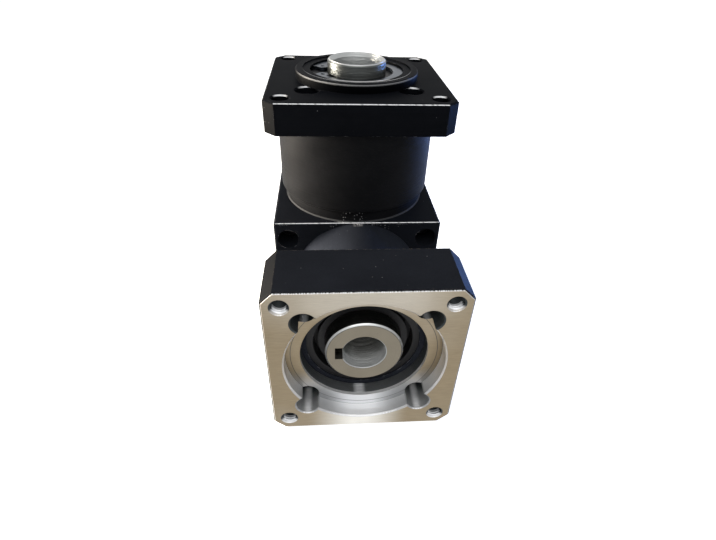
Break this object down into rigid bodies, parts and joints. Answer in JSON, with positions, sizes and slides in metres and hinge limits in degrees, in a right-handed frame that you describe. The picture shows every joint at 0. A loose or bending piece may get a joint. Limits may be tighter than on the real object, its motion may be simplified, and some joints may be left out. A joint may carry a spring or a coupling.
{
  "type": "right angle planetary gearbox",
  "caption": "Right angle planetary gearbox with square flanges, a keyed hollow input and a hollow output shaft that stands square to it.",
  "frame": {"origin": "centre of the output flange mounting face, on the output axis", "axes": "+Z out of the output shaft, -Y out of the input flange, +X to the right seen from the input"},
  "size_m": [0.06, 0.103, 0.1022],
  "materials": {
    "black_anodised": "black anodised, satin, bare on cut edges",
    "blackened_steel": "turned and blackened, semi gloss",
    "machined_aluminium": "bare machined front face, black anodised sides",
    "ground_steel": "ground bright",
    "gear_steel": "case hardened and ground",
    "bearing_steel": "polished",
    "spring_steel": "blue grey spring steel",
    "black_screw_steel": "black oxide",
    "seal_rubber": "matt",
    "gasket": "grey green, matt"
  },
  "bodies": {
    "housing": {"angle_housing": "black_anodised", "rear_cover": "black_anodised", "rear_cover_oring": "seal_rubber", "housing_screws": "black_screw_steel", "bottom_cover": "black_anodised", "bottom_cover_oring": "seal_rubber", "bottom_cover_screws": "black_screw_steel", "input_flange": "machined_aluminium", "input_flange_screws": "black_screw_steel", "input_oil_seal": "seal_rubber", "input_circlip": "spring_steel", "input_spacer": "bearing_steel", "ring_gear": "blackened_steel", "ring_gear_gasket": "gasket", "output_flange": "black_anodised", "output_flange_oring": "seal_rubber", "output_flange_screws": "black_screw_steel", "output_circlip": "spring_steel", "output_bearing_seal": "seal_rubber", "output_spacer": "bearing_steel", "front_input_bearing_outer_ring": "bearing_steel", "rear_input_bearing_outer_ring": "bearing_steel", "lower_shaft_bearing_outer_ring": "bearing_steel", "upper_shaft_bearing_outer_ring": "bearing_steel", "upper_output_bearing_outer_ring": "bearing_steel", "lower_output_bearing_outer_ring": "bearing_steel"},
    "input": {"input_shaft": "ground_steel", "bevel_pinion": "gear_steel", "pinion_key": "bearing_steel", "pinion_circlip": "spring_steel", "front_input_bearing_inner_ring": "bearing_steel", "front_input_bearing_ball_set": "bearing_steel", "rear_input_bearing_inner_ring": "bearing_steel", "rear_input_bearing_ball_set": "bearing_steel"},
    "sun": {"sun_shaft": "gear_steel", "bevel_gear": "gear_steel", "gear_key": "bearing_steel", "gear_circlip": "spring_steel", "lower_shaft_bearing_inner_ring": "bearing_steel", "lower_shaft_bearing_ball_set": "bearing_steel", "upper_shaft_bearing_inner_ring": "bearing_steel", "upper_shaft_bearing_ball_set": "bearing_steel"},
    "carrier": {"planet_carrier": "ground_steel", "carrier_end_plate": "ground_steel", "carrier_screws": "black_screw_steel", "planet_pins": "ground_steel", "planet_washers": "ground_steel", "needle_rollers": "bearing_steel", "upper_output_bearing_inner_ring": "bearing_steel", "upper_output_bearing_ball_set": "bearing_steel", "lower_output_bearing_inner_ring": "bearing_steel", "lower_output_bearing_ball_set": "bearing_steel"},
    "planet_1": {"planet_gear_1": "gear_steel"},
    "planet_2": {"planet_gear_2": "gear_steel"},
    "planet_3": {"planet_gear_3": "gear_steel"}
  },
  "joints": [
    {"name": "output_turn", "type": "hinge", "parent": "housing", "child": "carrier", "pos_m": [0, 0, 0], "axis": [0, 0, 1], "continuous": true},
    {"name": "sun_turn", "type": "hinge", "parent": "housing", "child": "sun", "pos_m": [0, 0, -0.0663], "axis": [0, 0, 1], "continuous": true},
    {"name": "input_turn", "type": "hinge", "parent": "housing", "child": "input", "pos_m": [0, 0, -0.0663], "axis": [0, -1, 0], "continuous": true},
    {"name": "planet_1_turn", "type": "hinge", "parent": "carrier", "child": "planet_1", "pos_m": [0.0126, 0, -0.0318], "axis": [0, 0, 1], "continuous": true},
    {"name": "planet_2_turn", "type": "hinge", "parent": "carrier", "child": "planet_2", "pos_m": [-0.0063, 0.01091, -0.0318], "axis": [0, 0, 1], "continuous": true},
    {"name": "planet_3_turn", "type": "hinge", "parent": "carrier", "child": "planet_3", "pos_m": [-0.0063, -0.01091, -0.0318], "axis": [0, 0, 1], "continuous": true}
  ],
  "couplings": [
    {"joint": "sun_turn", "follows": "output_turn", "ratio": 4},
    {"joint": "input_turn", "follows": "output_turn", "ratio": 4},
    {"joint": "planet_1_turn", "follows": "output_turn", "ratio": -3},
    {"joint": "planet_2_turn", "follows": "output_turn", "ratio": -3},
    {"joint": "planet_3_turn", "follows": "output_turn", "ratio": -3}
  ]
}
